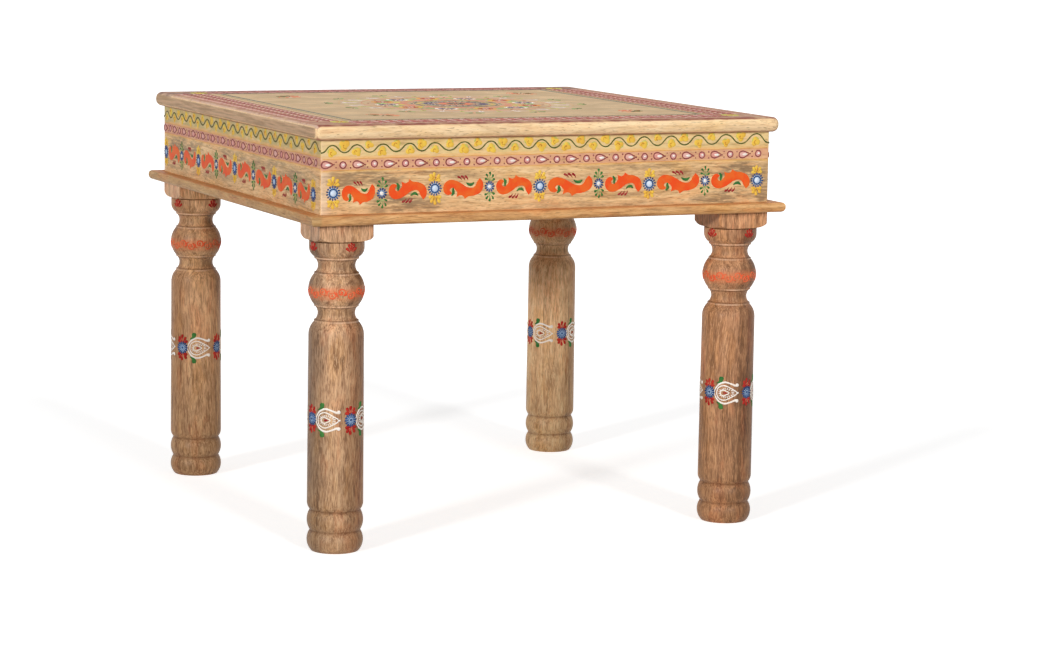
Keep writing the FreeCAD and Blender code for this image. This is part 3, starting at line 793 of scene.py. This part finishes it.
def flower_row(surface, flowers, first_up, stretch, ground, middle):
    """Daisies with fans, and paisleys between them that lie one way and the other in turn."""
    for k, (u, v) in enumerate(flowers):
        if k % 2 == 0:
            yellow_fans(surface, u, v)
            blue_daisy(spot(surface, u, v), ground, middle)
        else:
            green_fans(surface, u, v)
            small_daisy(spot(surface, u, v))
    for k, (left, right) in enumerate(zip(flowers, flowers[1:])):
        up = 1 if (k % 2 == 0) == first_up else -1
        wide = stretch * (right[0] - left[0] - PAISLEY_GAP) / PAISLEY_WIDTH
        u, v = ((a + b) / 2 for a, b in zip(left, right))
        paisley(spot(surface, u + (-1) ** k, v, wide=wide, tall=up))


def paint_aprons():
    for side in SIDES:
        surface = side_surface(side)
        if side in ("front", "back"):
            wave_row(surface, WAVE_REACH, "vine_green", 1.7)
            pearl_row(surface, "white")
            flower_row(surface, FRONT_FLOWERS, True, 1, "pale_blue", "white_blue")
        else:
            wave_row(surface, SIDE_WAVE_REACH, "olive", 2.2)
            pearl_row(surface, "rose_pink")
            flower_row(surface, SIDE_FLOWERS, False, 0.96, "deep_blue", "pale_blue")


# The top's border and medallion
# Rows of drops: distance from the top's middle, height and slant
BORDER_ROWS = ((280, 0.75, -5), (263, 0.55, 5), (250.5, 0.6, 5))
BORDER_STEP = 14
BORDER_WAVES = (271, 256)
INNER_LINE = 231.5
DOT_LINE, DOT_STEP = 239, 8
DOTS, FLOWERS, PETALS = 28, 12, 36
# Rings of petals in every other flower: paint, count, inner and outer radius, width
FLOWER_RINGS = ((("red", 10, 4, 10, 3.2), ("gold", 12, 9, 15, 2)),
                (("plum", 11, 4, 11, 3), ("white", 11, 8, 15, 1.6)))
PAISLEY_SHADE = ((-14, 14, 1.2), (-4, 17, 3.4), (6, 15, 3), (14, 17, 1))
SPRIG_PLACE = 163


def top_surface(x, y, level):
    return (x * MM, y * MM, (TOP_FACE + level) * MM)


def turned_top(turn, u=0, v=0, wide=1, tall=1):
    """A drawing place on the top at (u, v), before the whole top is turned by an angle."""
    return spot(spot(top_surface, 0, 0, turn), u, v, wide=wide, tall=tall)


def side_span(side, reach, shifts):
    """A border line's start and end along a side, up to those of the next sides, and its place across."""
    return shifts[side - 1] - reach, reach - shifts[(side + 1) % 4], shifts[side] - reach


def border_side(side):
    """One side of the border: rows of drops, wavy lines, two straight lines and a row of leaves."""
    turn = side * pi / 2
    line_colour, thin = ("maroon", 0.6) if SIDES[side] == "back" else ("crimson", 1)
    inward = BORDER_SHIFTS[side]
    start, end, _ = side_span(side, BORDER_ROWS[-1][0], BORDER_SHIFTS)
    middle, half = (start + end) / 2, (end - start) / 2
    count = int(2 * (half - BORDER_STEP) // BORDER_STEP)
    for reach, size, slant in BORDER_ROWS:
        for k in range(count + 1):
            place = turned_top(turn, middle + (k - count / 2) * BORDER_STEP, inward - reach, tall=size)
            for colour, head, tail, width, bend in (
                    ("rose_pink", (-4, slant), (4.6, -slant), 4, 0.25),
                    ("white", (-3.2, slant * 0.8), (1.6, -slant * 0.6), 1.8, 0.2),
                    (line_colour, (-1, -slant * 1.1), (6.5, -slant * 1.2), 2.8 * thin, 0.2)):
                comma(colour, place, head, tail, uneven(width), bend, TOP_RELIEF)
    for reach in BORDER_WAVES:
        wave = [(x, 1.6 * (-1) ** k, 2.2 * thin) for k, x in enumerate(range(-int(half), int(half) + 1, 7))]
        stroke(line_colour, turned_top(turn, middle, inward - reach), wave, height=TOP_RELIEF)
    for reach, shifts, colour, width in (
            (BORDER_IN, BORDER_SHIFTS, line_colour, 1.8), (INNER_LINE, LINE_SHIFTS, "slate", 4.6 * thin)):
        start, end, across = side_span(side, reach, shifts)
        line = [(start + share * (end - start), across, width) for share in (0, 0.25, 0.5, 0.75, 1)]
        stroke(colour, turned_top(turn), line, steps=4, height=LOW_RELIEF)
    start, end, across = side_span(side, DOT_LINE, LINE_SHIFTS)
    for k in range(int((end - start) // DOT_STEP)):
        leaf = turned_top(turn, start + (k + 0.5) * DOT_STEP, across)
        blob("vine_green" if k % 3 else "crimson", leaf, 3.6, 1.8, turn=uneven(0.6), height=LOW_RELIEF)


def corner_flower(turn):
    """A yellow and orange flower in the inner corner of the border."""
    place = turned_top(turn, CORNER_FLOWER, -CORNER_FLOWER)
    petals("lime", place, 10, 3, 11, 4)
    petals("yellow", place, 8, 2, 7, 3)
    petals("ochre", place, 5, 1, 4, 1.6)


def sprig(turn):
    """A faint pink flower with olive leaves, inside a corner of the field."""
    place = turned_top(turn - pi / 4, 0, -SPRIG_PLACE * sqrt(2), 0.8, 0.8)
    fan("salmon", place, 5, 130, 5, 14, 3.4)
    fan("salmon", place, 6, 150, 4, 9, 2, height=TOP_RELIEF)
    fan("olive", place, 4, 120, 7, 14, 2.2, centre=-90)
    for side in (-1, 1):
        comma("salmon", place, (side * 24, 5), (side * 9, -2), 3, -0.3 * side)
        comma("salmon", place, (side * 27, -4), (side * 12, -5), 3, 0.3 * side)
        comma("olive", place, (side * 20, -10), (side * 6, -5), 2.2, 0.3 * side)
        for reach in (10, 14.5, 19):
            blob("white", place, 2.2, at=(side * reach, 9), height=TOP_RELIEF)
    blob("maroon", place, 4, height=TOP_RELIEF)


def ring_place(radius, k, count, wide=1, tall=1):
    """A drawing place on a circle round the top's middle, with its outer side below."""
    return turned_top(tau * k / count, 0, -radius, wide, tall)


def medallion():
    """Rings round an orange flower: blue petals, paisleys, red and blue flowers, pale petals and leaves."""
    centre = turned_top(0)
    petals("salmon", centre, 14, 11, 22, 3)
    petals("slate", centre, 14, 5, 12, 2.2)
    blob("maroon", centre, 6)
    circle("maroon", centre, 25.5, 1.8, 16, TOP_RELIEF)
    petals("plum", centre, 28, 30, 41, 3.4)
    for k in range(DOTS):
        blob("white", ring_place(35, k + 0.5, DOTS), 2.4, height=TOP_RELIEF)
        blob("lime" if k % 2 else "gold", ring_place(46.5, k + 0.5, DOTS), 3.6, 5, height=TOP_RELIEF)
    circle("slate", centre, 52, 1.8, 16, TOP_RELIEF)
    for k in range(FLOWERS):
        between = ring_place(67, k + 0.5, FLOWERS, wide=0.58, tall=0.7)
        patch("salmon", between, PAISLEY, TOP_RELIEF)
        stroke("slate", between, PAISLEY_SHADE, height=TOP_RELIEF)
        place = ring_place(93, k, FLOWERS)
        blob("rose_pink", place, 19, height=LOW_RELIEF)
        for colour, *ring in FLOWER_RINGS[k % 2]:
            petals(colour, place, *ring)
        fan("lime", ring_place(79, k, FLOWERS), 4, 110, 1, 8, 2.4)
        fan("pale_green", ring_place(100, k + 0.5, FLOWERS), 5, 150, 2, 12, 2.6)
        blob("crimson", ring_place(111, k + 0.5, FLOWERS), 3.6)
    circle("salmon", centre, 119, 1.4, 16, TOP_RELIEF)
    for k in range(PETALS):
        petal = ring_place(124, k, PETALS)
        comma("white" if k % 2 else "lime", petal, (0, -19), (0, 0), 8, 0, TOP_RELIEF)
        comma("maroon", petal, (0, -15), (0, -4), 2.4, 0, TOP_RELIEF + 0.1)
        blob("gold", ring_place(147, k + 0.5, PETALS), 2.6, height=TOP_RELIEF)
    for k in range(FLOWERS):
        leaf = ring_place(158, k + 0.5, FLOWERS)
        for side in (-1, 1):
            comma("pale_green", leaf, (side * 12, -3), (side * 2, 3), 4.6, 0.25 * side)
            comma("vine_green", leaf, (side * 8, -7), (side * 1.5, 0), 2.4, 0.25 * side)
        blob("salmon", leaf, 4, at=(0, -2))


def paint_top():
    for side in range(4):
        turn = side * pi / 2
        border_side(side)
        corner_flower(turn)
        sprig(turn)
    medallion()


# The legs' bands: height of the shaft band and turn of its first daisy, and turn of the fans on the cup
LEG_BANDS = {"front_left": (158, -168, -79), "front_right": (163, -158, -72),
             "back_right": (166, -177, -86), "back_left": (170, -141, -65)}
LEG_REACH = 60
REPEATS = 4
DROP_AFTER_DAISY = 42
BALL_MIDDLE = 305
BALL_CURLS = 18
CUP_FAN_HEIGHT = 358
# One of the two commas round a white drop
DROP_COMMA = ((12.6, 9.6, 4.2), (9.6, 9.2, 3.2), (4, 11.4, 2.3), (-3.5, 13.2, 2.7), (-10.8, 10.4, 2.6),
              (-15.8, 3.6, 1.6), (-16.2, -0.6, 1))
DROP_SPOKES = 18


def leg_surface(leg, radius):
    """Maps (arc length, height, level) to the turned leg, found by looking at it from outside."""
    low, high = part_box(leg)
    middle = (low + high) / 2
    mesh = NODES[leg].data
    tree = BVHTree.FromPolygons([v.co for v in mesh.vertices], [p.vertices for p in mesh.polygons])

    def surface(u, v, level):
        out = Vector((*polar(u / radius, 1), 0))
        start = Vector((middle.x, middle.y, v * MM)) + out * LEG_REACH * MM
        hit = tree.ray_cast(start, -out)[0]
        return tuple(hit + out * level * MM)
    return surface


def white_drop(place):
    """The big white teardrop: two commas round it, an outline, spokes, a red heart and dots at the tips."""
    for up in (1, -1):
        stroke("white", place, [(x, up * y, width) for x, y, width in DROP_COMMA], steps=3)
        blob("white", place, 4.6, at=(12.4, up * 9.7), height=RELIEF + 0.3)
    stroke("white", place, drop_outline(26, 18.5, 1.7, -0.4), steps=3, closed=True)
    stroke("white", place, drop_outline(11, 7, 1.5, -3.2), steps=3, closed=True)
    for k in range(DROP_SPOKES):
        angle = tau * (k + 0.5) / DROP_SPOKES
        stretch = 1.35 if cos(angle) > 0 else 1
        near, far = (4.6, 7) if abs(cos(angle)) < 0.8 else (6, 8.6)
        ends = [(-2.6 + stretch * cos(angle) * r, 0.9 * sin(angle) * r, 1.3) for r in (near, far)]
        stroke("white", place, ends, steps=1)
    blob("white", place, 2.6, at=(13.4, 0))
    comma("crimson", place, (-5, 0), (0.4, 0), 3, bend=0)


def leg_daisy(place):
    """A blue flower with a red palmette above and below."""
    for up in (1, -1):
        turned = spot(place, 0, up * 7.4, tall=up)
        fan("red", turned, 5, 150, 0.6, 9, 4.4)
        fan("salmon", turned, 4, 90, 0.8, 4.2, 0.9, height=RELIEF + 0.2)
    blob("pale_blue", place, 13.5, 12.5, height=LOW_RELIEF)
    petals("blue", place, 14, 2, 8.2, 2.9)
    blob("blue", place, 3.6, height=RELIEF + 0.1)


def paint_shaft(surface, radius, height, first):
    """A band of daisies, and white drops between two leaves."""
    for k in range(REPEATS):
        turn = radians(first + k * 360 / REPEATS)
        leg_daisy(spot(surface, radius * turn, height))
        turn += radians(DROP_AFTER_DAISY)
        place = spot(surface, radius * turn, height)
        white_drop(place)
        for up in (1, -1):
            comma("leaf_green", place, (-7.4, up * 20), (-13.6, up * 11.6), 7, 0.22 * up)


def paint_ball(surface, radius):
    """An orange scroll round the ball: curls that sit high and low in turn."""
    step = tau * radius / BALL_CURLS
    for k in range(BALL_CURLS):
        up = 1 if k % 2 else -1
        place = spot(surface, k * step, BALL_MIDDLE + up * 1.8, tall=up)
        curl = [(*polar(radians(60 * i - 60), 4.9 - 0.4 * i), 2.1 - 0.12 * i) for i in range(7)]
        stroke("coral", place, curl)
        blob("coral", place, 3.2)
        comma("coral", place, (5.2, -3.8), (9.6, 2), 3, 0.3)


def paint_cup(surface, radius, first):
    """Red palmettes on the cup."""
    for k in range(REPEATS):
        place = spot(surface, radius * radians(first + k * 360 / REPEATS), CUP_FAN_HEIGHT)
        for angle in (30, 61, 90, 119, 150):
            x, y = polar(radians(angle), 1)
            comma("red", place, (x * 8.2, -6 + y * 12.2), (x * 1.6, -6 + y * 2), 3.7, 0)
        fan("salmon", place, 4, 90, 0.4, 4, 0.9, height=RELIEF + 0.2)


def paint_legs():
    for name, (height, first, cup_first) in LEG_BANDS.items():
        leg = "leg_" + name
        low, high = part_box(leg)
        radius = (high.x - low.x) / MM / 2
        surface = leg_surface(leg, radius)
        paint_shaft(surface, radius, height, first)
        paint_ball(surface, radius)
        paint_cup(surface, radius, cup_first)


def add_object(name, data):
    made = bpy.data.objects.new(name, data)
    bpy.context.scene.collection.objects.link(made)
    return made


def lay_paints():
    """Makes one object of each paint's relief."""
    for colour, (corners, faces) in laid.items():
        tone, second, slot = PAINTS[colour]
        mesh = bpy.data.meshes.new(colour + "_ornament")
        mesh.from_pydata(corners, [], faces)
        work = bmesh.new()
        work.from_mesh(mesh)
        bmesh.ops.recalc_face_normals(work, faces=work.faces)
        work.to_mesh(mesh)
        work.free()
        for face in mesh.polygons:
            face.use_smooth = len(face.vertices) <= 4
        mesh.materials.append(paint(colour + "_paint", tone, second))
        piece = add_object(colour + "_ornament", mesh)
        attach(piece, "root")


# Wood tones: light, middle, dark
TOP_TONES = ((255, 226, 182), (246, 212, 166), (224, 186, 142))
APRON_TONES = ((244, 208, 158), (230, 188, 136), (186, 144, 98))
MOULDING_TONES = ((230, 180, 124), (212, 158, 101), (170, 116, 69))
LEG_TONES = {
    "front_left": ((236, 192, 150), (210, 164, 124), (148, 108, 78)),
    "front_right": ((236, 178, 130), (206, 150, 108), (146, 102, 70)),
    # Painted light: the back right leg's tones are lighter, offsetting the shade that the table casts on it
    "back_right": ((255, 220, 172), (242, 194, 146), (190, 144, 102)),
    "back_left": ((246, 198, 148), (220, 170, 126), (164, 120, 84)),
}
INNER_TONES = ((214, 176, 130), (196, 154, 108), (160, 118, 78))


def dress(node, material):
    """Gives a CAD node its finish, in all its slots."""
    mesh = NODES[node].data
    for i in range(len(mesh.materials)):
        mesh.materials[i] = material


def dress_woods():
    for k in range(1, 6):
        dress_wood(f"top_board_{k}", f"top_wood_{k}", "x", TOP_TONES, k, patch=0.3, veins=0.3,
                   coats=top_coats, gloss=0.05)
    for k, side in enumerate(SIDES):
        along = "x" if side in ("front", "back") else "y"
        dress_wood("apron_" + side, "apron_wood_" + side, along, APRON_TONES, 20 + k, coats=apron_coats(side))
        dress_wood("base_rail_" + side, "moulding_wood_" + side, along, MOULDING_TONES, 30 + k,
                   coats=moulding_coats)
        dress_wood("top_cleat_" + side, "cleat_wood_" + side, along, INNER_TONES, 40 + k, roughness=0.6)
    for k, leg in enumerate(LEGS):
        dress_wood("leg_" + leg, "leg_wood_" + leg, "z", LEG_TONES[leg], 50 + k, patch=0.4, veins=0.6,
                   flecks=0.6, coats=leg_coats(leg), roughness=0.46)
        dress_wood("corner_block_" + leg, "block_wood_" + leg, "z", INNER_TONES, 60 + k, roughness=0.6)
    dress_wood("apron_mitre_splines", "spline_wood", "x", INNER_TONES, 70, roughness=0.6)


def dress_steel():
    metal = steel("zinc_plated_steel")
    for node in ("leg_hanger_bolts", "leg_bolt_washers", "leg_bolt_nuts", "base_rail_screws",
                 "top_cleat_screws", "corner_block_screws"):
        dress(node, metal)


# Camera, from the photograph's perspective: lens and sensor, place in metres and angles in degrees
LENS = 106.12
SENSOR = 36
CAMERA_PLACE = (-1.5174, -3.5494, 0.7624)
CAMERA_YAW, CAMERA_PITCH, CAMERA_ROLL = 24.4185, 8.0494, 0.8905


def place_camera():
    camera = add_object("camera", bpy.data.cameras.new("camera"))
    camera.data.lens = LENS
    camera.data.sensor_width = SENSOR
    camera.data.sensor_fit = "HORIZONTAL"
    camera.data.clip_end = 100
    place = Matrix.Translation(CAMERA_PLACE)
    for angle, axis in ((-CAMERA_YAW, "Z"), (90 - CAMERA_PITCH, "X"), (CAMERA_ROLL, "Z")):
        place = place @ Matrix.Rotation(radians(angle), 4, axis)
    camera.matrix_world = place
    bpy.context.scene.camera = camera


# Lamps: name, bearing and elevation of their light, watts per square metre, and apparent size in degrees
LAMPS = (("front_light", -87, 14.5, 1.3, 6.5), ("left_light", -146, 14.5, 1.55, 6.5),
         ("top_light", -90, 88, 0.9, 50))
LAMP_DISTANCE = 4
WORLD_STRENGTH = 0.2
WHITE = (1, 1, 1, 1)


def place_lamps():
    for name, bearing, elevation, power, size in LAMPS:
        lamp = bpy.data.lights.new(name, "SUN")
        lamp.angle = radians(size)
        lamp.energy = power
        holder = add_object(name, lamp)
        flat, rise = polar(radians(elevation), 1)
        way = Vector((*polar(radians(bearing), flat), rise))
        holder.location = way * LAMP_DISTANCE
        holder.rotation_euler = way.to_track_quat("Z", "Y").to_euler()


def seen_directly(tree):
    """1 for rays of the camera, and of what is seen in gloss or through glass."""
    rays = ("Is Camera Ray", "Is Glossy Ray", "Is Transmission Ray")
    return largest(*(tree.node("LightPath", output=ray) for ray in rays))


def light_world():
    """Even light from all round, seen as plain white."""
    tree = Tree(bpy.data.worlds.new("studio"))
    lighting = tree.node("Background", {"Color": WHITE, "Strength": WORLD_STRENGTH})
    seen = tree.node("Background", {"Color": WHITE, "Strength": 1})
    shader = tree.node("MixShader", {0: seen_directly(tree), 1: lighting, 2: seen})
    bpy.context.scene.world = tree.end("World", shader)


# The floor's half width in metres, its tone and glow, and the glow added between two distances
FLOOR_HALF = 30
FLOOR_TONE = (0.86, 0.86, 0.86, 1)
FLOOR_GLOW = 0.7
FAR_GLOW = 0.3
FAR_FROM, FAR_TO = 0.9, 1.3


def lay_floor():
    """A white floor that keeps the table's shadow, and fades to plain white away from it."""
    mesh = bpy.data.meshes.new("floor")
    corners = [(x * FLOOR_HALF, y * FLOOR_HALF, 0) for x, y in ((-1, -1), (1, -1), (1, 1), (-1, 1))]
    mesh.from_pydata(corners, [], [(0, 1, 2, 3)])
    floor = add_object("floor", mesh)
    tree = Tree(bpy.data.materials.new("floor_white"))
    matte = tree.node("BsdfDiffuse", {"Color": FLOOR_TONE})
    place = tree.node("TexCoord", output="Object")
    distance = tree.node("VectorMath", {0: place}, output=1, operation="LENGTH")
    strength = (distance.between(FAR_FROM, FAR_TO) * FAR_GLOW + FLOOR_GLOW) * seen_directly(tree)
    glow = tree.node("Emission", {"Color": WHITE, "Strength": strength})
    mesh.materials.append(tree.end("Material", tree.node("AddShader", {0: matte, 1: glow})))
    return floor


def spare_floor(floor):
    """Keeps the weak light from above off the floor, so that it throws no shadow there."""
    spared = bpy.data.collections.new("floor_only")
    spared.objects.link(floor)
    spared.collection_objects[0].light_linking.link_state = "EXCLUDE"
    bpy.data.objects["top_light"].light_linking.receiver_collection = spared


dress_woods()
dress_steel()
paint_aprons()
paint_top()
paint_legs()
lay_paints()
place_camera()
place_lamps()
light_world()
spare_floor(lay_floor())
bpy.context.scene.view_settings.view_transform = "Standard"
